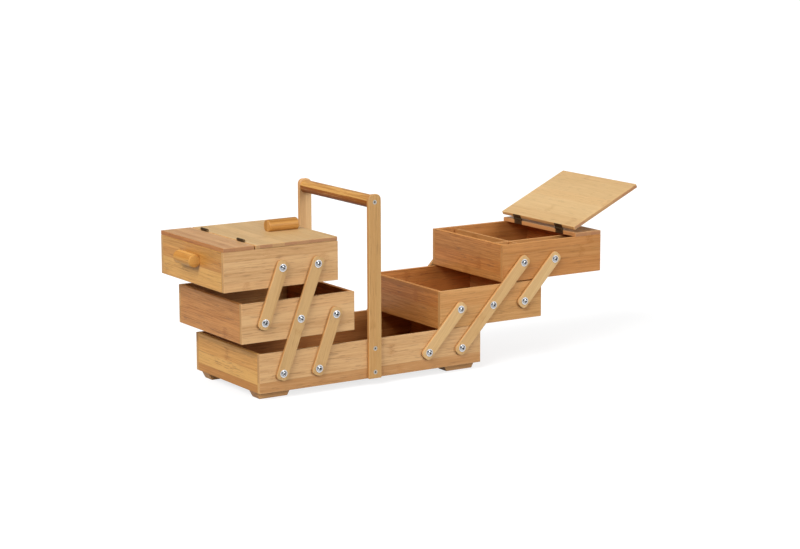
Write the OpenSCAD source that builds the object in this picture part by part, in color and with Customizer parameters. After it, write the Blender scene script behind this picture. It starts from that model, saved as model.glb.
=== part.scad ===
// Sewing carrier with two lids, in laminated bamboo. A base tray carries two middle trays and
// two upper trays, which swing out to both sides on parallel arms. Each upper tray has a lid on
// two small hinges, and a handle stands across the middle of the base.
// Millimetres, +Z up, feet on z = 0, front towards -Y, long way along X.
// The origin lies under the middle of the whole carrier as it is drawn, half open.

/* [Trays] */
// Length of the base tray
base_len = 400; // [340:5:480]
// Depth of the base tray from front face to back face
tray_depth = 200; // [160:5:260]
// Height of the side boards of every tray
tray_h = 60; // [50:1:72]
// Thickness of the side boards
wall = 6.5; // [5:0.5:8]
// Thickness of the bottom boards
floor_t = 4; // [3:0.5:6]
// Height of a bottom board above the lower edges of its side boards
floor_raise = 2.5; // [1.5:0.5:6]
// Depth of the groove that holds a bottom board
groove = 2.5; // [1:0.5:3]
// Gap between the two middle trays when the carrier is closed
centre_gap = 9; // [6:1:20]

/* [Arms] */
// Width of an arm
arm_w = 20; // [16:1:24]
// Thickness of an arm
arm_t = 4.5; // [3:0.5:7]
// Length of an arm beyond its last pivot
arm_end = 11; // [9:0.5:13]
// Radius of the rounded corners of an arm
arm_corner = 7.5; // [4:0.5:8]
// Distance of the long arms' lowest pivots from the ends of the base
pivot_inset = 38.5; // [30:0.5:46]
// Distance of the long arms' highest pivots from the middle when closed
top_pivot_x = 42.5; // [32:0.5:50]
// Distance from a long arm to the short arm beside it, base to middle tray
low_spacing = 62; // [50:1:70]
// Distance from a long arm to the short arm beside it, middle to upper tray
up_spacing = 61; // [50:1:70]
// Height of the base pivots above the lower edge of the base
base_pivot_h = 28; // [20:0.5:34]
// Height of the other pivots above the lower edge of their tray
tray_pivot_h = 29.5; // [22:0.5:36]

/* [Pose] */
// Angle of the left arms, where a stacked carrier is at the lowest one
left_arm_angle = 69; // [69:0.5:110]
// Opening angle of the left lid
left_lid_angle = 0; // [0:5:180]
// Opening angle of the right lid
right_lid_angle = 155; // [0:5:180]

/* [Lids] */
// Thickness of the top strip and of the lid beside it
top_t = 6.5; // [5:0.5:9]
// Width of the fixed strip at the outer end of an upper tray
strip_w = 52; // [40:1:64]
// Radius of the lid's free corners
lid_corner = 2.5; // [0.5:0.5:6]
// Length of a hinge
hinge_len = 20; // [14:1:30]
// Thickness of a hinge leaf
leaf_t = 0.8; // [0.6:0.1:1.2]
// Outer diameter of a hinge knuckle
knuckle_d = 4; // [3.4:0.1:5]
// Diameter of a hinge pin
hinge_pin_d = 1.8; // [1.2:0.1:2]
// Distance of each hinge from the middle of the lid
hinge_y = 57; // [40:1:64]

/* [Dividers] */
// Thickness of a divider
divider_t = 4; // [3:0.5:6]
// Depth of the dividers' top edges below the rim
divider_drop = 3; // [1:0.5:10]
// Width of the compartment beside the inner end board
inner_cell = 34; // [25:1:60]
// Width of the compartment beside the front board
front_cell = 34; // [25:1:80]

/* [Handle] */
// Height of the uprights' tops above the ground
handle_h = 296; // [275:1:330]
// Width of an upright
upright_w = 22; // [18:1:26]
// Thickness of an upright
upright_t = 6; // [5:0.5:9]
// Radius of the corners at the top of an upright
upright_corner = 8; // [3:0.5:8.5]
// Diameter of the round grip
grip_d = 20; // [14:0.5:22]
// Depth of the grip's axis below the tops of the uprights
grip_drop = 12; // [12:0.5:18]

/* [Knobs and feet] */
// Diameter of the dowel that the lid knobs and end pulls are cut from
knob_d = 20; // [14:0.5:22]
// Length of a lid knob and of an end pull
knob_len = 52; // [36:1:60]
// Depth of the flat planed along a knob's seat
knob_flat = 2; // [0.5:0.5:4]
// Distance of a lid knob from the free end of its lid
knob_inset = 14; // [8:1:30]
// Height of an end pull's axis above the lower edge of its tray
pull_h = 38; // [26:1:44]
// Height of the visible part of a foot
foot_h = 11; // [6:1:20]
// Length of a foot where it meets the base
foot_len = 60; // [40:1:70]
// Depth of a foot from front to back
foot_depth = 22; // [12:1:30]
// Slope of a foot's ends, measured along the foot
foot_bevel = 6; // [2:0.5:12]
// Distance of a foot from the end of the base
foot_inset = 1.5; // [0:0.5:10]
// Distance of a foot from the front or back face of the base
foot_setback = 14; // [6:1:24]

/* [Fasteners] */
// Diameter of a pivot screw's shank
shank_d = 4; // [3:0.1:5]
// Diameter of a pivot screw's head
head_d = 9; // [8:0.5:10]
// Height of a pivot screw's head
head_h = 2.6; // [2:0.1:3.4]
// Outer diameter of a washer
washer_d = 12; // [11:0.5:14]
// Thickness of a washer
washer_t = 1; // [0.6:0.1:1.4]
// Diameter of a handle screw's flat head
flat_head_d = 7; // [6:0.1:8]
// Diameter of a handle screw's shank
handle_shank_d = 3.4; // [2.5:0.1:4]

/* [Clearances] */
// Gap between the base rim and a middle tray stacked on it
stack_gap = 0.6; // [0.4:0.1:2]
// Distance by which each face of a moving tray stands back from the base's
tray_clear = 0.4; // [0.3:0.1:1]
// Gap between an arm and the face of the base
arm_gap = 0.4; // [0.3:0.1:1]
// Gap between an arm and the washer over it
washer_gap = 0.1; // [0.1:0.05:0.5]
// Gap between a washer and the screw head over it
head_gap = 0.05; // [0.02:0.01:0.1]
// Radial clearance of an arm on a pivot screw
pivot_fit = 0.05; // [0.01:0.01:0.1]
// Radial clearance of a moving knuckle on its pin
knuckle_fit = 0.05; // [0.01:0.01:0.1]
// Gap between neighbouring knuckles, and between two closed leaves
hinge_play = 0.3; // [0.2:0.1:0.5]
// Gap between a closed lid and the rim below it
lid_gap = 0.3; // [0.3:0.1:1]
// Play of the halving joint between two dividers
lap_fit = 0.1; // [0.05:0.05:0.3]

/* [Hidden] */
$fn = 48;
LEFT = -1;
RIGHT = 1;
FRONT = -1;
BACK = 1;
INNER = 0;
OUTER = 1;

FACE_WOOD = [0.80, 0.64, 0.42];
END_WOOD = [0.76, 0.54, 0.32];
ARM_WOOD = [0.83, 0.68, 0.45];
DOWEL_WOOD = [0.82, 0.58, 0.32];
ZINC = [0.78, 0.80, 0.83];
BRONZE = [0.27, 0.21, 0.14];

// Linkage. With the trays stacked, each pivot stands one rise above and one stagger inside the
// pivot below it. That sets the length of the links, and the fully open carrier is its mirror.
tray_len = (base_len - centre_gap) / 2;
moving_depth = tray_depth - 2 * tray_clear;
base_pivot_x = base_len / 2 - pivot_inset;
stagger = (base_pivot_x - top_pivot_x) / 2;
rise = tray_h + stack_gap + tray_pivot_h - base_pivot_h;
link = sqrt(rise * rise + stagger * stagger);
closed_angle = atan2(rise, stagger);
mid_pivot_x = base_pivot_x - stagger - centre_gap / 2;
up_pivot_x = top_pivot_x - centre_gap / 2;

// Pivots of each tray, measured from its inner end, or from the left end of the base
base_pivots = [
  for (s = [LEFT, RIGHT], x = [base_pivot_x - low_spacing, base_pivot_x]) base_len / 2 + s * x
];
middle_pivots = [mid_pivot_x - low_spacing, mid_pivot_x, mid_pivot_x + up_spacing];
upper_pivots = [up_pivot_x, up_pivot_x + up_spacing];

// Planes outside a long face, as distances from the middle
arm_in = tray_depth / 2 + arm_gap;
washer_seat = arm_in + arm_t + washer_gap;
shank_len = head_gap + washer_t + washer_seat - tray_depth / 2 + wall - 1;

// Hinge line of an upper tray, measured from its inner end and its lower edge
hinge_gap = 2 * leaf_t + hinge_play;
hinge_x = tray_len - strip_w - hinge_gap / 2;
axis_rise = knuckle_d / 2 + 0.2;
hinge_z = tray_h + top_t + axis_rise;
knuckle_len = (hinge_len - 2 * hinge_play) / 3;
lid_len = hinge_x - hinge_gap / 2;

// Screws of an upright: height over the ground, and length
grip_z = handle_h - grip_drop;
panel_screw = upright_t + wall - 1;
upright_screws = [
  [foot_h + 10, panel_screw],
  [foot_h + tray_h - 13, panel_screw],
  [grip_z, upright_t + 18]
];

// Compartments of an upper tray, from its inner end, its middle and its lower edge
cross_x = wall + inner_cell;
long_y = wall + front_cell - moving_depth / 2;
divider_foot = floor_raise + floor_t;
divider_h = tray_h - divider_drop - divider_foot;

function arm_angle(s) = s == LEFT ? left_arm_angle : 180 - closed_angle;
function lid_angle(s) = s == LEFT ? left_lid_angle : right_lid_angle;
// Inner end and lower edge of a tray, level 1 for a middle tray and 2 for an upper one
function tray_x(s, level) =
  base_pivot_x - level * link * cos(arm_angle(s)) - (level == 1 ? mid_pivot_x : up_pivot_x);
function tray_z(s, level) =
  foot_h + base_pivot_h + level * link * sin(arm_angle(s)) - tray_pivot_h;
// Farthest point of a side from the middle of the base: the end pull, or a lid that is open
function pull_reach(s) = tray_x(s, 2) + tray_len + knob_d - knob_flat;
function lid_reach(s) =
  tray_x(s, 2) + hinge_x - hinge_x * cos(lid_angle(s)) - axis_rise * sin(lid_angle(s));
function reach(s) = max(pull_reach(s), lid_reach(s));
middle_x = (reach(LEFT) - reach(RIGHT)) / 2;

// Moves pieces drawn about the middle of the base to their place over the origin
module from_middle() {
  translate([middle_x, 0, 0]) children();
}

// Draws the pieces of one side, with X pointing outwards from the middle of the base
module on_side(s) {
  from_middle() mirror([s == LEFT ? 1 : 0, 0, 0]) children();
}

// Places the base tray's pieces, drawn from its left end and lower edge
module in_base() {
  from_middle() translate([-base_len / 2, 0, foot_h]) children();
}

// Places a moving tray's pieces, drawn from its inner end and lower edge
module in_tray(s, level) {
  on_side(s) translate([tray_x(s, level), 0, tray_z(s, level)]) children();
}

// Turns the pieces of a closed lid about the hinge line
module in_lid(s) {
  in_tray(s, 2) translate([hinge_x, 0, hinge_z]) rotate([0, lid_angle(s), 0])
    translate([-hinge_x, 0, -hinge_z]) children();
}

// Stands a piece drawn along +Z on a plane outside the front or back face, with its Y upwards
module on_face(side_y, plane) {
  rotate([0, 0, side_y == FRONT ? 0 : 180]) translate([0, -plane, 0]) rotate([90, 0, 0])
    children();
}

// Crossed slots of a cross-head screw, cut down from the plane z = 0
module cross_slots(size, depth) {
  for (turn = [0, 90]) rotate([0, 0, turn])
    translate([-size / 2, -size / 8, -depth]) cube([size, size / 4, depth + 1]);
}

// Shank and point of a pivot screw, drawn from the washer's seat
module pivot_shank() {
  tip = shank_d / 2;
  point = head_gap + washer_t - shank_len;
  translate([0, 0, point + tip]) cylinder(d = shank_d, h = shank_len - tip);
  translate([0, 0, point]) cylinder(d1 = 0.6, d2 = shank_d, h = tip);
}

// Pivot screw with its domed head, drawn from the washer's seat, its slots at a turn
module pivot_screw(turn) {
  dome = head_d * 0.78;
  seat = washer_t + head_gap;
  top = seat + head_h;
  difference() {
    union() {
      intersection() {
        translate([0, 0, seat]) cylinder(d = head_d, h = head_h);
        translate([0, 0, top - dome]) sphere(r = dome, $fn = 64);
      }
      pivot_shank();
    }
    translate([0, 0, top]) rotate([0, 0, turn]) cross_slots(head_d * 0.55, head_h * 0.6);
  }
}

module washer() {
  difference() {
    cylinder(d = washer_d, h = washer_t);
    translate([0, 0, -1]) cylinder(d = shank_d + 0.4, h = washer_t + 2);
  }
}

// Pivot screws and washers on both long faces of a tray, each screw stopped at its own turn
module pivot_screws(xs, z) {
  color(ZINC) for (side_y = [FRONT, BACK], i = [0 : len(xs) - 1])
    translate([xs[i], 0, z]) on_face(side_y, washer_seat) {
      pivot_screw(turn = 15 + 37 * i + 20 * side_y);
      washer();
    }
}

// Bottom board, also the cutter of the stopped groove that it sits in
module floor_board(length, depth) {
  edge = wall - groove;
  translate([edge, edge - depth / 2, floor_raise])
    cube([length - 2 * edge, depth - 2 * edge, floor_t]);
}

// Front or back board of a tray, grooved for the bottom and bored for the pivot screws
module long_board(length, depth, side_y, xs, z) {
  color(FACE_WOOD) difference() {
    translate([0, side_y == FRONT ? -depth / 2 : depth / 2 - wall, 0])
      cube([length, wall, tray_h]);
    floor_board(length, depth);
    for (x = xs) translate([x, 0, z]) on_face(side_y, washer_seat) pivot_shank();
  }
}

// End board of a tray, between the front and back boards
module end_board(length, depth, which) {
  color(END_WOOD) difference() {
    translate([which == INNER ? 0 : length - wall, wall - depth / 2, 0])
      cube([wall, depth - 2 * wall, tray_h]);
    floor_board(length, depth);
  }
}

module base_long_panel(side_y) {
  difference() {
    in_base() long_board(base_len, tray_depth, side_y, base_pivots, base_pivot_h);
    from_middle() upright_screw_bodies(side_y);
  }
}

module base_end(which) {
  in_base() end_board(base_len, tray_depth, which);
}

module base_bottom() {
  color(END_WOOD) in_base() floor_board(base_len, tray_depth);
}

module base_pivot_screws() {
  in_base() pivot_screws(base_pivots, base_pivot_h);
}

// Outline of a foot, a slat with sloping ends. It reaches up to the bottom board, and a notch
// at its outer end, the one at foot_len, clears the end board.
module foot_outline() {
  top = foot_h + floor_raise;
  notch = foot_len + foot_inset - wall;
  polygon([
    [foot_bevel, 0], [foot_len - foot_bevel, 0], [foot_len, foot_h],
    [notch, foot_h], [notch, top], [0, top], [0, foot_h]
  ]);
}

module base_feet() {
  color(END_WOOD) for (s = [LEFT, RIGHT], side_y = [FRONT, BACK]) on_side(s)
    translate([base_len / 2 - foot_inset - foot_len, 0, 0])
      mirror([0, side_y == BACK ? 1 : 0, 0])
        translate([0, foot_setback + foot_depth - tray_depth / 2, 0]) rotate([90, 0, 0])
          linear_extrude(foot_depth) foot_outline();
}

// Body of a countersunk screw, flush with the plane z = 0 and pointing down
module flat_screw_body(length) {
  cone = (flat_head_d - handle_shank_d) / 2;
  translate([0, 0, -cone]) cylinder(d1 = handle_shank_d, d2 = flat_head_d, h = cone);
  translate([0, 0, -length]) cylinder(d = handle_shank_d, h = length - cone);
}

// Bodies of the screws of one upright, used to cut their holes
module upright_screw_bodies(side_y) {
  for (item = upright_screws) translate([0, 0, item[0]])
    on_face(side_y, tray_depth / 2 + upright_t) flat_screw_body(item[1]);
}

module handle_screws() {
  color(ZINC) from_middle() for (side_y = [FRONT, BACK]) difference() {
    upright_screw_bodies(side_y);
    for (item = upright_screws) translate([0, 0, item[0]])
      on_face(side_y, tray_depth / 2 + upright_t) rotate([0, 0, 30 + item[0] / 3])
        cross_slots(flat_head_d * 0.55, 1.2);
  }
}

// Front view of an upright, a slat with its two top corners rounded
module upright_outline() {
  r = upright_corner;
  half = upright_w / 2;
  translate([-half, foot_h]) square([upright_w, handle_h - foot_h - r]);
  translate([r - half, foot_h]) square([upright_w - 2 * r, handle_h - foot_h]);
  for (x = [r - half, half - r]) translate([x, handle_h - r]) circle(r = r);
}

module upright(side_y) {
  color(FACE_WOOD) from_middle() difference() {
    on_face(side_y, tray_depth / 2) linear_extrude(upright_t) upright_outline();
    upright_screw_bodies(side_y);
  }
}

module handle_grip() {
  color(DOWEL_WOOD) from_middle() difference() {
    translate([0, tray_depth / 2, grip_z]) rotate([90, 0, 0])
      cylinder(d = grip_d, h = tray_depth, $fn = 96);
    for (side_y = [FRONT, BACK]) upright_screw_bodies(side_y);
  }
}

// Outline of an arm with its pivot holes, along X from the centre of the first hole
module arm_outline(holes) {
  reach = holes[len(holes) - 1] + 2 * arm_end;
  r = arm_corner;
  difference() {
    translate([-arm_end, -arm_w / 2]) {
      translate([r, 0]) square([reach - 2 * r, arm_w]);
      translate([0, r]) square([reach, arm_w - 2 * r]);
      for (x = [r, reach - r], y = [r, arm_w - r]) translate([x, y]) circle(r = r);
    }
    for (x = holes) translate([x, 0]) circle(d = shank_d + 2 * pivot_fit);
  }
}

// Front and back arm of one kind, from their lowest pivot at x outwards and z up
module arm_pair(s, x, z, holes) {
  tilt = arm_angle(s);
  color(ARM_WOOD) on_side(s) for (side_y = [FRONT, BACK])
    translate([x, 0, z]) on_face(side_y, arm_in)
      rotate([0, 0, side_y == FRONT ? 180 - tilt : tilt])
        linear_extrude(arm_t) arm_outline(holes);
}

module long_arms(s) {
  arm_pair(s, base_pivot_x, foot_h + base_pivot_h, [0, link, 2 * link]);
}

module lower_short_arms(s) {
  arm_pair(s, base_pivot_x - low_spacing, foot_h + base_pivot_h, [0, link]);
}

module upper_short_arms(s) {
  arm_pair(s, tray_x(s, 1) + mid_pivot_x + up_spacing, tray_z(s, 1) + tray_pivot_h, [0, link]);
}

module middle_panel(s, side_y) {
  in_tray(s, 1) long_board(tray_len, moving_depth, side_y, middle_pivots, tray_pivot_h);
}

module upper_panel(s, side_y) {
  in_tray(s, 2) long_board(tray_len, moving_depth, side_y, upper_pivots, tray_pivot_h);
}

module tray_end(s, level, which) {
  in_tray(s, level) end_board(tray_len, moving_depth, which);
}

module tray_bottom(s, level) {
  color(END_WOOD) in_tray(s, level) floor_board(tray_len, moving_depth);
}

module middle_pivot_screws(s) {
  in_tray(s, 1) pivot_screws(middle_pivots, tray_pivot_h);
}

module upper_pivot_screws(s) {
  in_tray(s, 2) pivot_screws(upper_pivots, tray_pivot_h);
}

// Fixed strip glued over the outer end of an upper tray
module top_strip(s) {
  color(FACE_WOOD) in_tray(s, 2)
    translate([tray_len - strip_w, -moving_depth / 2, tray_h])
      cube([strip_w, moving_depth, top_t]);
}

// Divider across the tray, slotted from its top edge
module cross_divider(s) {
  color(END_WOOD) in_tray(s, 2) difference() {
    translate([cross_x, wall - moving_depth / 2, divider_foot])
      cube([divider_t, moving_depth - 2 * wall, divider_h]);
    translate([cross_x - 1, long_y - lap_fit, divider_foot + divider_h / 2])
      cube([divider_t + 2, divider_t + 2 * lap_fit, divider_h]);
  }
}

// Divider along the tray, slotted from its bottom edge
module long_divider(s) {
  color(END_WOOD) in_tray(s, 2) difference() {
    translate([wall, long_y, divider_foot])
      cube([tray_len - 2 * wall, divider_t, divider_h]);
    translate([cross_x - lap_fit, long_y - 1, divider_foot - divider_h / 2])
      cube([divider_t + 2 * lap_fit, divider_t + 2, divider_h]);
  }
}

// Length of dowel with softened ends, along X, on the flat planed along its underside
module dowel_knob() {
  r = knob_d / 2;
  soft = 1.2;
  intersection() {
    translate([0, 0, r - knob_flat]) rotate([0, 90, 0]) rotate_extrude($fn = 96)
      polygon([
        [0, 0], [r - soft, 0], [r, soft], [r, knob_len - soft], [r - soft, knob_len],
        [0, knob_len]
      ]);
    translate([-1, -r - 1, 0]) cube([knob_len + 2, knob_d + 2, knob_d]);
  }
}

// Pull lying across the outer end of an upper tray
module end_pull(s) {
  color(DOWEL_WOOD) in_tray(s, 2) translate([tray_len, -knob_len / 2, pull_h])
    rotate([90, 0, 0]) rotate([0, 90, 0]) dowel_knob();
}

// Hinge leaf with its knuckles in the slots named by own, on the +X side of the pin's axis
module hinge_leaf(own, bore) {
  difference() {
    translate([0, -hinge_len / 2, 0]) {
      translate([hinge_play / 2, 0, leaf_t / 2 - axis_rise - top_t])
        cube([leaf_t, hinge_len, top_t - leaf_t / 2]);
      for (slot = own) translate([0, slot * (knuckle_len + hinge_play), 0]) {
        rotate([-90, 0, 0]) cylinder(d = knuckle_d, h = knuckle_len);
        translate([hinge_play / 2, 0, -axis_rise - leaf_t])
          cube([leaf_t, knuckle_len, axis_rise + leaf_t - bore / 2 - 0.3]);
      }
    }
    translate([0, -hinge_len, 0]) rotate([-90, 0, 0]) cylinder(d = bore, h = 2 * hinge_len);
  }
}

// Places both hinges of a lid on the hinge line
module at_hinges() {
  for (y = [-hinge_y, hinge_y]) translate([hinge_x, y, hinge_z]) children();
}

module fixed_leaves(s) {
  color(BRONZE) in_tray(s, 2) at_hinges() hinge_leaf([0, 2], hinge_pin_d);
}

module hinge_pins(s) {
  color(BRONZE) in_tray(s, 2) at_hinges() translate([0, -hinge_len / 2, 0])
    rotate([-90, 0, 0]) cylinder(d = hinge_pin_d, h = hinge_len);
}

module lid_leaves(s) {
  color(BRONZE) in_lid(s) at_hinges() mirror([1, 0, 0])
    hinge_leaf([1], hinge_pin_d + 2 * knuckle_fit);
}

// Lid panel with the two corners of its free end rounded
module lid_panel(s) {
  r = lid_corner;
  half = moving_depth / 2;
  color(FACE_WOOD) in_lid(s) translate([0, 0, tray_h + lid_gap])
    linear_extrude(top_t - lid_gap) {
      translate([r, -half]) square([lid_len - r, moving_depth]);
      translate([0, r - half]) square([r, moving_depth - 2 * r]);
      for (y = [r - half, half - r]) translate([r, y]) circle(r = r);
    }
}

module lid_knob(s) {
  color(DOWEL_WOOD) in_lid(s) translate([knob_inset, 0, tray_h + top_t]) dowel_knob();
}

base_long_panel(FRONT);  // base_front_panel
base_long_panel(BACK);  // base_back_panel
base_end(INNER);  // base_left_end
base_end(OUTER);  // base_right_end
base_bottom();
base_feet();
base_pivot_screws();
upright(FRONT);  // handle_front_upright
upright(BACK);  // handle_back_upright
handle_grip();
handle_screws();
long_arms(LEFT);  // left_long_arms
lower_short_arms(LEFT);  // left_lower_short_arms
upper_short_arms(LEFT);  // left_upper_short_arms
middle_panel(LEFT, FRONT);  // left_middle_front_panel
middle_panel(LEFT, BACK);  // left_middle_back_panel
tray_end(LEFT, 1, INNER);  // left_middle_inner_end
tray_end(LEFT, 1, OUTER);  // left_middle_outer_end
tray_bottom(LEFT, 1);  // left_middle_bottom
middle_pivot_screws(LEFT);  // left_middle_pivot_screws
upper_panel(LEFT, FRONT);  // left_upper_front_panel
upper_panel(LEFT, BACK);  // left_upper_back_panel
tray_end(LEFT, 2, INNER);  // left_upper_inner_end
tray_end(LEFT, 2, OUTER);  // left_upper_outer_end
tray_bottom(LEFT, 2);  // left_upper_bottom
upper_pivot_screws(LEFT);  // left_upper_pivot_screws
top_strip(LEFT);  // left_upper_top_strip
cross_divider(LEFT);  // left_upper_cross_divider
long_divider(LEFT);  // left_upper_long_divider
end_pull(LEFT);  // left_upper_end_pull
fixed_leaves(LEFT);  // left_upper_hinge_leaves
hinge_pins(LEFT);  // left_upper_hinge_pins
lid_panel(LEFT);  // left_lid_panel
lid_knob(LEFT);  // left_lid_knob
lid_leaves(LEFT);  // left_lid_hinge_leaves
long_arms(RIGHT);  // right_long_arms
lower_short_arms(RIGHT);  // right_lower_short_arms
upper_short_arms(RIGHT);  // right_upper_short_arms
middle_panel(RIGHT, FRONT);  // right_middle_front_panel
middle_panel(RIGHT, BACK);  // right_middle_back_panel
tray_end(RIGHT, 1, INNER);  // right_middle_inner_end
tray_end(RIGHT, 1, OUTER);  // right_middle_outer_end
tray_bottom(RIGHT, 1);  // right_middle_bottom
middle_pivot_screws(RIGHT);  // right_middle_pivot_screws
upper_panel(RIGHT, FRONT);  // right_upper_front_panel
upper_panel(RIGHT, BACK);  // right_upper_back_panel
tray_end(RIGHT, 2, INNER);  // right_upper_inner_end
tray_end(RIGHT, 2, OUTER);  // right_upper_outer_end
tray_bottom(RIGHT, 2);  // right_upper_bottom
upper_pivot_screws(RIGHT);  // right_upper_pivot_screws
top_strip(RIGHT);  // right_upper_top_strip
cross_divider(RIGHT);  // right_upper_cross_divider
long_divider(RIGHT);  // right_upper_long_divider
end_pull(RIGHT);  // right_upper_end_pull
fixed_leaves(RIGHT);  // right_upper_hinge_leaves
hinge_pins(RIGHT);  // right_upper_hinge_pins
lid_panel(RIGHT);  // right_lid_panel
lid_knob(RIGHT);  // right_lid_knob
lid_leaves(RIGHT);  // right_lid_hinge_leaves
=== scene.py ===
import math

import bmesh
import bpy
from mathutils import Matrix, Vector


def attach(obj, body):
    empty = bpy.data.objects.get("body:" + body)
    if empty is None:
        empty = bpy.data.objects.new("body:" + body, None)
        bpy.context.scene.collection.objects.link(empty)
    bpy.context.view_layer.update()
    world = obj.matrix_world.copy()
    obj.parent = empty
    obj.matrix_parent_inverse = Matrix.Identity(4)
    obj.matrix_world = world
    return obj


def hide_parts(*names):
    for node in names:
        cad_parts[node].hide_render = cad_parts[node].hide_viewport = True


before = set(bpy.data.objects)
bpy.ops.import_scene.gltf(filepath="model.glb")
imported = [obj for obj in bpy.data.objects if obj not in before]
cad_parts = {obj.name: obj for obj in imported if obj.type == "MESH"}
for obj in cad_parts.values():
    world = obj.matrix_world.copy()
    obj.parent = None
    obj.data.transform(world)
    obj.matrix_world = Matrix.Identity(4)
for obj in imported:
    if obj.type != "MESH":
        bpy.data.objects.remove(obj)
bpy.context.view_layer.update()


# Base tray boards. Two long boards cover the ends of two end boards, all of laminated bamboo
# 6.5 mm thick. They are butted and glued, rubbed soft along the edges, and lacquered to a satin
# finish that is thinner, so duller, on the inside and on the rims. Their inside faces carry painted
# shade, deeper and redder, and their top rims a painted highlight.

MM = 0.001
X, Y, Z = Vector((1, 0, 0)), Vector((0, 1, 0)), Vector((0, 0, 1))


def welded(node, join_within=0.002 * MM, flat_within=math.radians(0.5)):
    """A new mesh from a CAD node's loose triangles, with its points joined and flat faces whole."""
    form = bmesh.new()
    form.from_mesh(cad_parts[node].data)
    bmesh.ops.remove_doubles(form, verts=form.verts, dist=join_within)
    bmesh.ops.dissolve_limit(form, angle_limit=flat_within, verts=form.verts, edges=form.edges)
    return form


def groups_of(edges):
    """Sorts edges into groups that hang together."""
    left = dict.fromkeys(edges)
    while left:
        group, front = [], [left.popitem()[0]]
        while front:
            edge = front.pop()
            group.append(edge)
            for vert in edge.verts:
                for other in vert.link_edges:
                    if other in left:
                        del left[other]
                        front.append(other)
        yield group


def soften(form, radius, steps, sharper_than=math.radians(35), bore=13 * MM):
    """Rounds the outer edges of a piece and marks them as worn. Rims of bores up to that width
    stay sharp."""
    worn = form.faces.layers.float.new("worn")
    sharp = [
        edge for edge in form.edges
        if len(edge.link_faces) == 2 and edge.is_convex and edge.calc_face_angle() > sharper_than
    ]
    rounded = []
    for group in groups_of(sharp):
        places = [vert.co for edge in group for vert in edge.verts]
        spread = max(max(p[i] for p in places) - min(p[i] for p in places) for i in range(3))
        if spread > bore:
            rounded += group
    made = bmesh.ops.bevel(
        form, geom=rounded, offset=radius, offset_type="OFFSET", affect="EDGES", segments=steps,
        profile=0.5, clamp_overlap=True, material=-1, loop_slide=True,
    )
    for face in made["faces"]:
        face[worn] = 1.0


def placed(name, data):
    """A new object in the scene, at the origin."""
    made = bpy.data.objects.new(name, data)
    bpy.context.scene.collection.objects.link(made)
    return made


def piece_from(form, name, curved_below=math.radians(38)):
    """Turns a finished form into an object with smooth curves and flat faces kept flat."""
    mesh = bpy.data.meshes.new(name)
    form.to_mesh(mesh)
    form.free()
    mesh.shade_smooth()
    mesh.set_sharp_from_angle(angle=curved_below)
    piece = placed(name, mesh)
    piece.modifiers.new("even shading", "WEIGHTED_NORMAL").keep_sharp = True
    return piece


def towards(direction, amount=1.0, nearly=0.9):
    """Picks the faces that look that way, to be given painted shade, deeper in tone, by that
    amount.
    """
    return lambda normal: amount * (normal.dot(direction) > nearly)


def lay_grain(piece, along, across, seed, deep, rim):
    """Stores each point's place along the fibres, across the strips and through them, how far each
    face is cut across the fibres, how much painted shade deepens its tone, and whether it is a bare
    rim along the top, which is duller and painted paler as a painted highlight. The seed picks
    where the board is cut from an endless block."""
    mesh = piece.data
    for mark, kind, domain in (
        ("grain", "FLOAT_VECTOR", "POINT"), ("cut", "FLOAT", "CORNER"),
        ("deep", "FLOAT", "FACE"), ("rim", "FLOAT", "FACE"),
    ):
        mesh.attributes.new(mark, kind, domain)
    grain, cut, deeper, bare = (mesh.attributes[m].data for m in ("grain", "cut", "deep", "rim"))
    ways = (along, across, along.cross(across))
    start = Vector((0.731 * seed % 5, 0.0137 * (seed * 7 % 29) + 0.4 * seed, 0.211 * seed % 3))
    for vert in mesh.vertices:
        grain[vert.index].vector = Vector([vert.co.dot(way) for way in ways]) + start
    cut_from, cut_over, upward = 0.55, 0.3, 0.5
    for face in mesh.polygons:
        deeper[face.index].value = deep(face.normal)
        bare[face.index].value = float(rim and face.normal.z > upward)
        slant = abs(face.normal.dot(along))
        for corner in face.loop_indices:
            cut[corner].value = min(max((slant - cut_from) / cut_over, 0), 1)


def feed(tree, node, inputs):
    """Gives a shader node's inputs their values, or the sockets that feed them."""
    for key, value in inputs.items():
        if isinstance(value, bpy.types.NodeSocket):
            tree.links.new(value, node.inputs[key])
        else:
            node.inputs[key].default_value = value


def shader(tree, kind, inputs=(), **settings):
    """Adds a shader node with its settings and inputs."""
    made = tree.nodes.new("ShaderNode" + kind)
    for key, value in settings.items():
        setattr(made, key, value)
    feed(tree, made, dict(inputs))
    return made


def number(tree, operation, *values, clamp=False):
    """What one operation makes of one to three numbers."""
    made = shader(tree, "Math", dict(enumerate(values)), operation=operation, use_clamp=clamp)
    return made.outputs[0]


def times(tree, first, second):
    return number(tree, "MULTIPLY", first, second)


def plus(tree, first, second):
    return number(tree, "ADD", first, second)


def minus(tree, first, second, clamp=False):
    return number(tree, "SUBTRACT", first, second, clamp=clamp)


def fade(tree, value, start, end, low=0.0, high=1.0):
    """Maps a number smoothly from start..end to low..high."""
    ends = {"Value": value, "From Min": start, "From Max": end, "To Min": low, "To Max": high}
    return shader(tree, "MapRange", ends, interpolation_type="SMOOTHSTEP").outputs["Result"]


def blended(tree, amount, first, second, blend="MIX"):
    """Goes from the first colour to the second, or to their product, by an amount of 0 to 1."""
    inputs = {0: amount, 6: first, 7: second}
    return shader(tree, "Mix", inputs, data_type="RGBA", blend_type=blend).outputs[2]


def noise(tree, place, detail, rough=0.5, scale=1.0):
    inputs = {"Vector": place, "Scale": scale, "Detail": detail, "Roughness": rough}
    return shader(tree, "TexNoise", inputs).outputs[0]


def stretched_noise(tree, place, waves, detail, rough=0.6):
    """Noise drawn out along the fibres, with so many waves per metre along, across and through."""
    at = shader(tree, "VectorMath", {0: place, 1: waves}, operation="MULTIPLY").outputs[0]
    return noise(tree, at, detail, rough)


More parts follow.
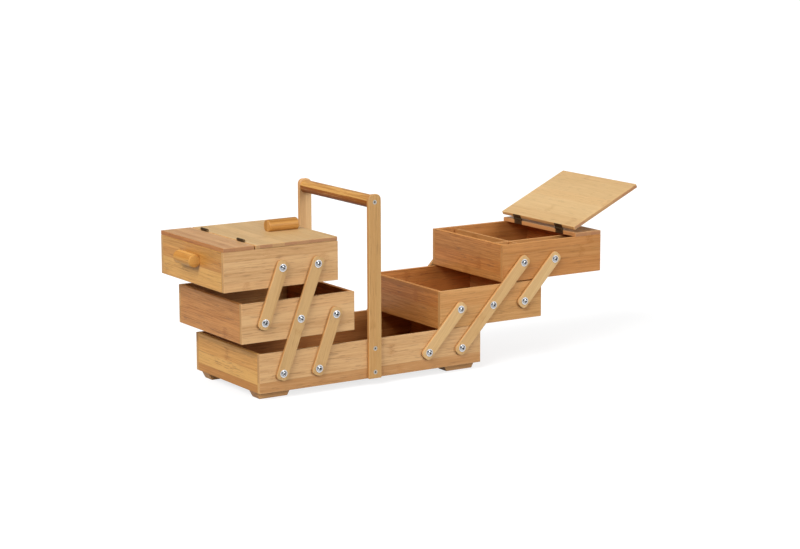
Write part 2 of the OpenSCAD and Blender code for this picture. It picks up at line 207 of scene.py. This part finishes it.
def make_bamboo_group():
    """What all the bamboo shares: colour, roughness and height at a place in the wood."""
    tree = bpy.data.node_groups.new("laminated bamboo", "ShaderNodeTree")
    vector, value, colour = "NodeSocketVector", "NodeSocketFloat", "NodeSocketColor"
    for name, kind in (
        ("Grain", vector), ("Cut", value), ("Worn", value), ("Deep", value), ("Rim", value),
        ("Pale", colour), ("Dark", colour), ("Ends", colour),
        ("Strip width", value), ("Contrast", value), ("Knot depth", value),
    ):
        tree.interface.new_socket(name=name, in_out="INPUT", socket_type=kind)
    for name, kind in (("Color", colour), ("Roughness", value), ("Height", value)):
        tree.interface.new_socket(name=name, in_out="OUTPUT", socket_type=kind)
    given = tree.nodes.new("NodeGroupInput").outputs
    part = shader(tree, "SeparateXYZ", {0: given["Grain"]}).outputs

    # one strip of bamboo beside the next, each with its own draw of tone, knots and knot depth,
    # and a thin glue line between them
    glue_line = 0.4 * MM
    lane = number(tree, "DIVIDE", part["Y"], given["Strip width"])
    inside = number(tree, "FRACT", lane)
    dice = shader(tree, "TexWhiteNoise", {"W": number(tree, "FLOOR", lane)}, noise_dimensions="1D")
    drawn = shader(tree, "SeparateColor", {0: dice.outputs["Color"]}).outputs
    tone_draw, place_draw, knot_draw = drawn[0], drawn[1], drawn[2]
    to_side = number(tree, "MINIMUM", inside, minus(tree, 1.0, inside))
    glue = fade(tree, times(tree, to_side, given["Strip width"]), glue_line, 0.0)

    # a knot every 27 cm or so along a strip, where the fibres swirl and thin dark rings cross them
    pitch, stagger, swirl_depth, ring_waves = 270 * MM, 3.1, 26 * MM, 2100.0
    turn = number(tree, "DIVIDE", plus(tree, part["X"], times(tree, place_draw, stagger)), pitch)
    off = times(tree, minus(tree, number(tree, "FRACT", turn), 0.5), pitch)
    wander = stretched_noise(tree, given["Grain"], (60, 210, 60), 3.0, 0.7)
    wobble = times(tree, minus(tree, wander, 0.5), swirl_depth)
    away = number(tree, "ABSOLUTE", plus(tree, off, wobble))
    knot = fade(tree, away, 10 * MM, 1.5 * MM)
    ripple = number(tree, "SINE", times(tree, away, ring_waves))
    rings = times(tree, fade(tree, ripple, 0.35, 0.95), fade(tree, away, 6.5 * MM, 2 * MM))
    depth = times(tree, given["Knot depth"], fade(tree, knot_draw, 0.25, 0.45))

    # fibres, broader bands and pores, shifted from strip to strip
    swirl = shader(tree, "CombineXYZ", {1: times(tree, times(tree, knot, wobble), 0.35)})
    shift = shader(tree, "VectorMath", {0: dice.outputs["Color"], 3: 2.9}, operation="SCALE")
    moved = given["Grain"]
    for push in (shift, swirl):
        moved = shader(tree, "VectorMath", {0: moved, 1: push.outputs[0]}, operation="ADD")
        moved = moved.outputs[0]
    fibre = stretched_noise(tree, moved, (15, 520, 520), 5.0, 0.74)
    band = stretched_noise(tree, moved, (4, 120, 120), 3.0)
    pore = fade(tree, stretched_noise(tree, moved, (44, 560, 520), 2.0), 0.56, 0.66)
    pore = times(tree, pore, fade(tree, band, 0.62, 0.38, 0.25, 1.0))

    # the tone of a long face, with some strips pinker, and with dark pores and glue lines
    pink, dark_pore = (1.0, 0.86, 0.74, 1), (0.16, 0.075, 0.03, 1)
    tone = 0.5
    for source, share in ((tone_draw, 2.0), (fibre, 5.2), (band, 2.0)):
        swing = times(tree, times(tree, minus(tree, source, 0.5), share), given["Contrast"])
        tone = plus(tree, tone, swing)
    marks = plus(tree, times(tree, rings, 0.5), times(tree, knot, 0.25))
    tone = minus(tree, tone, times(tree, marks, depth), clamp=True)
    face = blended(tree, tone, given["Dark"], given["Pale"])
    blush = times(tree, fade(tree, knot_draw, 0.55, 0.9, 0.0, 0.9), given["Contrast"])
    face = blended(tree, blush, face, blended(tree, 1.0, face, pink, "MULTIPLY"))
    hollow = plus(tree, times(tree, pore, 0.8), times(tree, glue, 0.2))
    hollow = times(tree, hollow, given["Contrast"])
    face = blended(tree, hollow, face, dark_pore)

    # cut ends: the fibres are seen end on, as fine dark dots
    dark_dot = (0.20, 0.09, 0.035, 1)
    dots = fade(tree, stretched_noise(tree, given["Grain"], (500, 1500, 1500), 2.0), 0.42, 0.66)
    mottle = fade(tree, tone_draw, 0.2, 0.8, 0.0, 0.6)
    ends = blended(tree, mottle, given["Ends"], given["Dark"])
    ends = blended(tree, times(tree, dots, 0.35), ends, dark_dot)
    shown = blended(tree, given["Cut"], face, ends)

    # rounded edges: rubbed smooth, unevenly along the board
    patchy = stretched_noise(tree, given["Grain"], (30, 90, 90), 3.0)
    rubbed = times(tree, given["Worn"], fade(tree, patchy, 0.3, 0.7, 0.1, 0.6))
    shown = blended(tree, rubbed, shown, blended(tree, 0.6, given["Pale"], given["Dark"]))

    # painted shade makes inside faces and narrow sides deeper in tone and redder, and a painted
    # highlight makes the bare top rims paler
    redder = blended(tree, 1.0, shown, (0.92, 0.74, 0.58, 1), "MULTIPLY")
    shown = blended(tree, given["Deep"], shown, redder)
    # painted highlight: the bare top rims are blended towards the pale tone
    shown = blended(tree, times(tree, given["Rim"], 0.6), shown, given["Pale"])

    # pale fibres shine a little more, and cut ends, inside faces and above all rims are duller
    rough = number(tree, "MULTIPLY_ADD", fibre, -0.22, 0.53)
    rough = number(tree, "MULTIPLY_ADD", given["Cut"], 0.12, rough)
    rough = number(tree, "MULTIPLY_ADD", given["Deep"], 0.15, rough)
    rough = number(tree, "MULTIPLY_ADD", given["Rim"], 0.6, rough, clamp=True)
    height = minus(tree, fibre, times(tree, hollow, 2.0))
    result = tree.nodes.new("NodeGroupOutput")
    feed(tree, result, {"Color": shown, "Roughness": rough, "Height": height})
    return tree


bamboo_group = make_bamboo_group()


def new_material(name):
    """A new material with its nodes and its surface."""
    made = bpy.data.materials.new(name)
    made.use_nodes = True
    return made, made.node_tree, made.node_tree.nodes["Principled BSDF"]


def bamboo(
    name, pale, dark, strip=20 * MM, contrast=0.5, knots=1.0, lacquer=0.0, sheen=0.28, ends=None,
):
    """Laminated bamboo, in the two tones that its strips and fibres run between. Sheen is how
    strongly the wood itself shines, and lacquer is the coat over it."""
    made, tree, surface = new_material(name)
    marks = {
        mark: shader(tree, "Attribute", attribute_name=mark.lower()).outputs["Fac"]
        for mark in ("Cut", "Worn", "Deep", "Rim")
    }
    grain = shader(tree, "Attribute", attribute_name="grain").outputs["Vector"]
    wood = shader(tree, "Group", {
        "Grain": grain, **marks, "Pale": (*pale, 1), "Dark": (*dark, 1),
        "Ends": (*(ends or pale), 1), "Strip width": strip, "Contrast": contrast,
        "Knot depth": knots,
    }, node_tree=bamboo_group).outputs
    relief = {"Height": wood["Height"], "Strength": 0.35, "Distance": 0.15 * MM}
    feed(tree, surface, {
        "Base Color": wood["Color"], "Roughness": wood["Roughness"],
        "Normal": shader(tree, "Bump", relief).outputs["Normal"], "Specular IOR Level": sheen,
        "Coat Weight": lacquer, "Coat Roughness": 0.28, "Coat IOR": 1.5,
    })
    return made


def wooden(
    node, body, slot, material, along, across, seed, radius=0.7 * MM, steps=3,
    deep=lambda normal: 0.0, rim=False,
):
    """A board that stands for its CAD node, with soft edges and its grain laid."""
    form = welded(node)
    soften(form, radius, steps)
    board = piece_from(form, node + "_wood")
    lay_grain(board, along, across, seed, deep, rim)
    board.data.materials.append(material)
    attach(board, body)
    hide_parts(node)


honey = bamboo(
    "bamboo honey", (0.60, 0.365, 0.17), (0.43, 0.225, 0.085), strip=16 * MM, contrast=0.52,
    ends=(0.60, 0.345, 0.13),
)
amber = bamboo("bamboo amber", (0.65, 0.35, 0.095), (0.44, 0.195, 0.042), contrast=0.62)
toasted = bamboo("bamboo toasted", (0.555, 0.30, 0.11), (0.375, 0.175, 0.05))
for board, slot, wood, along, inward, seed in (
    ("front_panel", "bamboo_face", honey, X, Y, 38),
    ("back_panel", "bamboo_face", toasted, X, -Y, 4),
    ("left_end", "bamboo_end", amber, Y, X, 30),
    ("right_end", "bamboo_end", amber, Y, -X, 12),
):
    wooden(f"base_{board}", "base", slot, wood, along, Z, seed, deep=towards(inward), rim=True)


# Base bottom and feet. The bottom is a thin bamboo sheet in grooves round the boards, with its
# grain across. The four feet are short bevelled blocks glued under the corners.

sheet_wood = bamboo(
    "bamboo bottom sheet", (0.52, 0.26, 0.09), (0.36, 0.155, 0.045), strip=24 * MM, contrast=0.4,
)


def bottom_sheet(node, body, seed):
    # its upper face, the floor inside the box, gets painted shade
    wooden(
        node, body, "bamboo_end", sheet_wood, Y, X, seed, radius=0.3 * MM, steps=1,
        deep=towards(Z),
    )


bottom_sheet("base_bottom", "base", 21)
foot_wood = bamboo("bamboo feet", (0.52, 0.28, 0.11), (0.36, 0.165, 0.055))
wooden("base_feet", "base", "bamboo_end", foot_wood, X, Y, 23, radius=0.8 * MM)


# Handle. Two flat bamboo uprights, round at the top, are screwed to the middle of the long
# boards. A turned dowel is held between them by a countersunk screw at each end.

front_upright = bamboo(
    "bamboo uprights", (0.57, 0.345, 0.14), (0.44, 0.24, 0.08), strip=11 * MM, contrast=0.34,
)
back_upright = bamboo(
    "bamboo pale upright", (0.68, 0.44, 0.21), (0.54, 0.32, 0.14), strip=11 * MM, contrast=0.3,
)
# the grip's strips run round it, and a dark strip laid along its underside is painted shade
grip_wood = bamboo(
    "bamboo grip", (0.62, 0.335, 0.10), (0.26, 0.075, 0.008), strip=13 * MM, contrast=0.7,
    knots=0.5, sheen=0.1,
)


def narrow_side(normal, sideways=0.5):
    """Picks the narrow sides of a flat strip whose broad faces look to the front and back, to be
    given painted shade.
    """
    return float(abs(normal.y) < sideways)


# the narrow sides of the uprights get painted shade
for side, wood, seed in (("front", front_upright, 31), ("back", back_upright, 32)):
    wooden(
        f"handle_{side}_upright", "base", "bamboo_face", wood, Z, X, seed, radius=0.9 * MM,
        deep=narrow_side,
    )
# its seed puts the dark strip along the underside, as painted shade
wooden("handle_grip", "base", "bamboo_dowel", grip_wood, Y, Z, 53, radius=0.4 * MM)


def metal(name, colour, rough, wear, flecks):
    """Plated or browned metal. Colour and roughness wander a little, with fine flecks where it is
    worn, and nearly black painted shade where a piece is marked for it: in screw slots, and a
    little over screw heads."""
    made, tree, surface = new_material(name)
    place = shader(tree, "TexCoord").outputs["Object"]
    cloud = noise(tree, place, 3.0, scale=420.0)
    fleck = fade(tree, noise(tree, place, 2.0, scale=1500.0), 0.58, 0.7)
    dusty = shader(tree, "Attribute", attribute_name="recess").outputs["Fac"]
    tint, dust = (*colour, 1), (0.02, 0.02, 0.022)
    # the last blend is painted shade, nearly black, where the piece is marked for it
    for amount, over in (
        (fade(tree, cloud, 0.35, 0.7, 0.0, 0.45), wear),
        (times(tree, fleck, 0.3), flecks),
        (times(tree, dusty, 0.95), dust),
    ):
        tint = blended(tree, amount, tint, (*over, 1))
    gloss = fade(tree, cloud, 0.3, 0.7, rough, rough + 0.14)
    thick = number(tree, "POWER", dusty, 4.0)
    gloss = number(tree, "MULTIPLY_ADD", thick, 0.4, gloss)
    feed(tree, surface, {"Base Color": tint, "Roughness": gloss, "Metallic": 1.0})
    return made


def mark_slots(form, reach=2.6 * MM, depth=0.5 * MM, thinnest_screw=2 * MM):
    """Marks the heads of screws that lie along Y for a little painted shade, and the insides of
    their cross slots for nearly black painted shade. Washers, which are thinner than a screw is
    long, stay unshaded."""
    dusty = form.faces.layers.float.new("recess")
    on_head, in_slot = 0.4, 1.0
    for solid in groups_of(form.edges):
        places = [vert.co for edge in solid for vert in edge.verts]
        x, z = ((min(p[i] for p in places) + max(p[i] for p in places)) / 2 for i in (0, 2))
        top = max(abs(p.y) for p in places)
        if top - min(abs(p.y) for p in places) < thinnest_screw:
            continue
        for face in {face for edge in solid for face in edge.link_faces}:
            middle = face.calc_center_median()
            near = math.hypot(middle.x - x, middle.z - z) < reach
            face[dusty] = in_slot if near and abs(middle.y) < top - depth else on_head


def metalwork(node, body, material, slotted=False):
    """A metal fitting that stands for its CAD node, joined so that its curves shade smoothly."""
    form = welded(node)
    if slotted:
        mark_slots(form)
    fitting = piece_from(form, node + "_metal")
    fitting.data.materials.append(material)
    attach(fitting, body)
    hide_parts(node)


dull_zinc = metal(
    "dull zinc", (0.82, 0.77, 0.68), rough=0.22, wear=(0.45, 0.40, 0.33),
    flecks=(0.85, 0.80, 0.72),
)
metalwork("handle_screws", "base", dull_zinc, slotted=True)


# Arms. Each is a strip of bamboo 20 mm wide and 4.5 mm thick with rounded corners, bored for its
# screws. Long arms carry both trays of a half, and the short arms keep the trays level.

SIDES = {"left": -1, "right": 1}
golden = bamboo(
    "bamboo golden arms", (0.56, 0.36, 0.16), (0.43, 0.245, 0.09), contrast=0.24, knots=0.8,
)
straw = bamboo(
    "bamboo straw arms", (0.63, 0.425, 0.20), (0.49, 0.29, 0.115), contrast=0.24, knots=0.8,
)


def run_of(node, end_depth=4 * MM):
    """The direction in which a pair of arms runs, from the middle of its lowest points to the
    middle of its highest."""
    places = [vert.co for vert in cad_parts[node].data.vertices]
    bottom, top = min(p.z for p in places), max(p.z for p in places)
    low = [p for p in places if p.z < bottom + end_depth]
    high = [p for p in places if p.z > top - end_depth]
    run = sum(high, Vector()) / len(high) - sum(low, Vector()) / len(low)
    run.y = 0
    return run.normalized()


for (side, sign), wood in zip(SIDES.items(), (golden, straw)):
    run = run_of(f"{side}_long_arms")
    for seed, arms in enumerate(("long_arms", "lower_short_arms", "upper_short_arms"), 41 + sign):
        node = f"{side}_{arms}"
        # the narrow sides of the arms get painted shade
        wooden(
            node, node, "bamboo_arm", wood, run, run.cross(Y), seed, radius=1.0 * MM,
            deep=narrow_side,
        )


# Middle trays. Open boxes of the same boards as the base, glued in the same way, each with a thin
# bottom in grooves. The front of the left one is as pale as the base, and the rest is browner.

caramel = bamboo("bamboo caramel", (0.56, 0.25, 0.07), (0.36, 0.135, 0.03), contrast=0.66)


def tray_boards(side, level, front, back, inner, outer):
    """The boards and the bottom of a tray. Each board is given its bamboo and the seed that picks
    its strips."""
    body = f"{side}_{level}_tray"
    out = X * SIDES[side]
    # the inside face of each board gets painted shade, the back panel's at half strength
    for board, slot, along, deep, (wood, seed) in (
        ("front_panel", "bamboo_face", X, towards(Y), front),
        ("back_panel", "bamboo_face", X, towards(-Y, 0.5), back),
        ("inner_end", "bamboo_end", Y, towards(out), inner),
        ("outer_end", "bamboo_end", Y, towards(-out), outer),
    ):
        wooden(f"{side}_{level}_{board}", body, slot, wood, along, Z, seed, deep=deep, rim=True)
    bottom_sheet(f"{side}_{level}_bottom", body, front[1] + 6)


tray_boards(
    "left", "middle", front=(honey, 22), back=(toasted, 62), inner=(caramel, 64),
    outer=(caramel, 60),
)
tray_boards(
    "right", "middle", front=(toasted, 12), back=(caramel, 72), inner=(caramel, 71),
    outer=(toasted, 74),
)


# Upper trays. Boxes like the middle ones, divided by a cross board and a long board. A fixed
# strip over the outer end carries the hinges, and a bamboo dowel with one flat is glued on the
# outer end as a pull.

strip_wood = bamboo(
    "bamboo top strips", (0.62, 0.36, 0.16), (0.42, 0.21, 0.085), strip=9 * MM, contrast=0.38,
    ends=(0.37, 0.17, 0.075),
)
russet = bamboo("bamboo russet", (0.52, 0.247, 0.078), (0.36, 0.148, 0.036), contrast=0.46)
pull_wood = bamboo(
    "bamboo pulls", (0.75, 0.39, 0.10), (0.50, 0.22, 0.045), strip=7 * MM, knots=0.4, sheen=0.12,
)
tray_boards(
    "left", "upper", front=(honey, 106), back=(honey, 44), inner=(amber, 83),
    outer=(amber, 104),
)
tray_boards(
    "right", "upper", front=(russet, 81), back=(russet, 36), inner=(caramel, 54),
    outer=(caramel, 90),
)


def edges_along(direction, sideways=0.5):
    """Picks the faces that look either way along a direction, to be given painted shade."""
    return lambda normal: float(abs(normal.dot(direction)) > sideways)


for side, sign in SIDES.items():
    body = f"{side}_upper_tray"
    # the narrow sides of the top strip get painted shade
    wooden(
        f"{side}_upper_top_strip", body, "bamboo_face", strip_wood, Y, X, 101 + sign,
        radius=1.0 * MM, deep=edges_along(X),
    )
    for divider, along, seed in (("cross", Y, 105), ("long", X, 109)):
        wooden(
            f"{side}_upper_{divider}_divider", body, "bamboo_end", sheet_wood, along, Z,
            seed + sign, radius=0.5 * MM, rim=True,
        )
    wooden(
        f"{side}_upper_end_pull", body, "bamboo_dowel", pull_wood, Y, Z, 113 + sign,
        radius=1.2 * MM,
    )


# Lids. One bamboo panel each with the grain from front to back and two corners of the free end
# rounded. A dowel with one flat is glued on as a knob near the free end. The left lid is shut,
# and the right one is turned back.

lid_wood = bamboo(
    "bamboo lids", (0.65, 0.44, 0.205), (0.515, 0.315, 0.13), strip=21 * MM, contrast=0.3,
    ends=(0.38, 0.185, 0.085),
)
knob_wood = bamboo(
    "bamboo knobs", (0.53, 0.265, 0.068), (0.32, 0.13, 0.022), strip=7 * MM, contrast=0.55,
    knots=0.4, lacquer=0.2, sheen=0.12,
)
lid_over, lid_under = {}, {}
for (side, sign), opened in zip(SIDES.items(), (0, 155)):
    body = f"{side}_lid"
    angle = math.radians(opened)
    over = lid_over[side] = Vector((-sign * math.cos(angle), 0, math.sin(angle)))
    lid_under[side] = Vector((-sign * math.sin(angle), 0, -math.cos(angle)))
    # the narrow sides of the lid get painted shade
    wooden(
        f"{side}_lid_panel", body, "bamboo_face", lid_wood, Y, over, 121 + sign, radius=1.1 * MM,
        deep=edges_along(over),
    )
    wooden(
        f"{side}_lid_knob", body, "bamboo_dowel", knob_wood, over, Y, 120 + sign,
        radius=1.2 * MM,
    )


# Hinges. Small butt hinges of browned metal stand in the joint between strip and lid with only
# the knuckles proud of the top. Each leaf is held by two flush nails, seen when the lid is open.

bronze = metal(
    "browned metal", (0.11, 0.072, 0.038), rough=0.42, wear=(0.20, 0.13, 0.06),
    flecks=(0.36, 0.25, 0.12),
)
nail_metal = metal(
    "hinge nails", (0.22, 0.16, 0.09), rough=0.30, wear=(0.34, 0.25, 0.13),
    flecks=(0.5, 0.4, 0.22),
)
for side in SIDES:
    for part, body in (
        ("upper_hinge_leaves", "upper_tray"), ("upper_hinge_pins", "upper_tray"),
        ("lid_hinge_leaves", "lid"),
    ):
        metalwork(f"{side}_{part}", f"{side}_{body}", bronze)


def turned_to(direction):
    """The turn that points Z in a direction."""
    return direction.to_track_quat("Z", "Y").to_matrix().to_4x4()


def hinge_nails(name, node, body, facing, down):
    """Four nail heads on the shown faces of a pair of hinge leaves, two to a leaf and all but
    flush."""
    half_leaf, half_apart, above_foot, sunk, near_foot = (
        size * MM for size in (10, 6, 2.1, 0.02, 1)
    )
    places = [vert.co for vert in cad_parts[node].data.vertices]
    foot = max(p.dot(down) for p in places)
    face = max(p.dot(facing) for p in places if p.dot(down) > foot - near_foot)
    middle = max(p.y for p in places) - half_leaf
    form = bmesh.new()
    for leaf in (-middle, middle):
        for y in (leaf - half_apart, leaf + half_apart):
            at = down * (foot - above_foot) + facing * (face - sunk) + Y * y
            bmesh.ops.create_cone(
                form, cap_ends=True, segments=20, radius1=0.95 * MM, radius2=0.65 * MM,
                depth=0.22 * MM, matrix=Matrix.Translation(at) @ turned_to(facing),
            )
    heads = piece_from(form, name)
    heads.data.materials.append(nail_metal)
    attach(heads, body)


for side, sign in SIDES.items():
    hinge_nails(
        f"{side}_strip_hinge_nails", f"{side}_upper_hinge_leaves", f"{side}_upper_tray",
        X * -sign, -Z,
    )
    hinge_nails(
        f"{side}_lid_hinge_nails", f"{side}_lid_hinge_leaves", f"{side}_lid", -lid_over[side],
        lid_under[side],
    )


# Pivot screws. Round-headed cross-slot screws of bright zinc, each over a plain washer, pin the
# arms to the boards. They are driven into the boards, and their slots lie as they were left.

zinc = metal(
    "bright zinc", (0.82, 0.83, 0.85), rough=0.14, wear=(0.62, 0.65, 0.69),
    flecks=(0.94, 0.95, 0.96),
)
metalwork("base_pivot_screws", "base", zinc, slotted=True)
for side in SIDES:
    for level in ("middle", "upper"):
        body = f"{side}_{level}_tray"
        metalwork(f"{side}_{level}_pivot_screws", body, zinc, slotted=True)


# Studio. A white floor and an even white surround, a low soft key from the front, a higher light
# from the left and a weaker one from behind, seen through a long lens from the left front as in
# the photograph.

def grey(value):
    return value, value, value, 1


# the floor glows white to the camera and in shiny faces, and gives back little other light
white, cover, paint = new_material("white floor")
feed(cover, paint, {
    "Base Color": grey(0.28), "Roughness": 0.9, "Emission Color": grey(1),
    "Emission Strength": 0.76,
})
dim = shader(cover, "BsdfDiffuse", {"Color": grey(0.30)}).outputs[0]
path = shader(cover, "LightPath").outputs
mirrored = times(cover, path["Is Glossy Ray"], 0.7)
seen = number(cover, "MAXIMUM", path["Is Camera Ray"], mirrored)
laid = shader(cover, "MixShader", {0: seen, 1: dim, 2: paint.outputs[0]}).outputs[0]
feed(cover, cover.nodes["Material Output"], {"Surface": laid})
ground = bmesh.new()
bmesh.ops.create_grid(ground, x_segments=1, y_segments=1, size=30)
floor_mesh = bpy.data.meshes.new("floor")
ground.to_mesh(floor_mesh)
ground.free()
floor_mesh.materials.append(white)
floor = placed("floor", floor_mesh)

# the surround is plain white to the camera, and lights more from above and less from its side
surround = bpy.data.worlds.new("studio")
surround.use_nodes = True
bpy.context.scene.world = surround
sky = surround.node_tree
sky.nodes.clear()
seen = shader(sky, "LightPath").outputs["Is Camera Ray"]
direction = shader(sky, "TexCoord").outputs["Generated"]
height = shader(sky, "SeparateXYZ", {0: direction}).outputs["Z"]
camera_side = {0: direction, 1: (-0.54, -0.82, 0.18)}
facing = shader(sky, "VectorMath", camera_side, operation="DOT_PRODUCT").outputs["Value"]
upward = fade(sky, height, -0.1, 0.9, 0.13, 0.42)
shaded = fade(sky, facing, 0.72, 0.97, 1.0, 0.3)
soft = shader(sky, "Background", {"Color": grey(1), "Strength": times(sky, upward, shaded)})
plain = shader(sky, "Background", {"Color": grey(1), "Strength": 1.0})
both = shader(sky, "MixShader", {0: seen, 1: soft.outputs[0], 2: plain.outputs[0]})
shader(sky, "OutputWorld", {"Surface": both.outputs[0]})


def way_to(azimuth, elevation):
    """A direction in degrees. Azimuth 0 lies in front of the carrier and 90 to its right."""
    a, e = math.radians(azimuth), math.radians(elevation)
    return Vector((math.sin(a) * math.cos(e), -math.cos(a) * math.cos(e), math.sin(e)))


def lamp(name, azimuth, elevation, power, spread, glare=True):
    """A distant soft light that shines from that direction."""
    light = bpy.data.lights.new(name, "SUN")
    light.energy, light.angle = power, math.radians(spread)
    lit = placed(name, light)
    lit.visible_glossy = glare
    lit.rotation_euler = way_to(azimuth, elevation).to_track_quat("Z", "Y").to_euler()


lamp("key light", azimuth=14, elevation=18, power=1.8, spread=30)
lamp("left light", azimuth=-68, elevation=38, power=3.1, spread=40)
lamp("back light", azimuth=150, elevation=15, power=1.5, spread=40, glare=False)

# the camera, as fitted to the photograph: lengths in millimetres, but for the two in pixels
focal_pixels, picture_pixels, sensor = 2221.17, 800, 36
camera = bpy.data.cameras.new("camera")
camera.sensor_width = sensor
camera.lens = focal_pixels / picture_pixels * sensor
camera.clip_end = 100
eye = placed("camera", camera)
aim, distance, roll = Vector((-230.4, -347.88, 221.91)), 3106.5, math.radians(-0.134)
back = way_to(azimuth=-32.894, elevation=10.527)
eye.location = aim * MM + back * distance * MM
eye.rotation_euler = (turned_to(back) @ Matrix.Rotation(roll, 4, "Z")).to_euler()
bpy.context.scene.camera = eye
bpy.context.scene.view_settings.view_transform = "Standard"
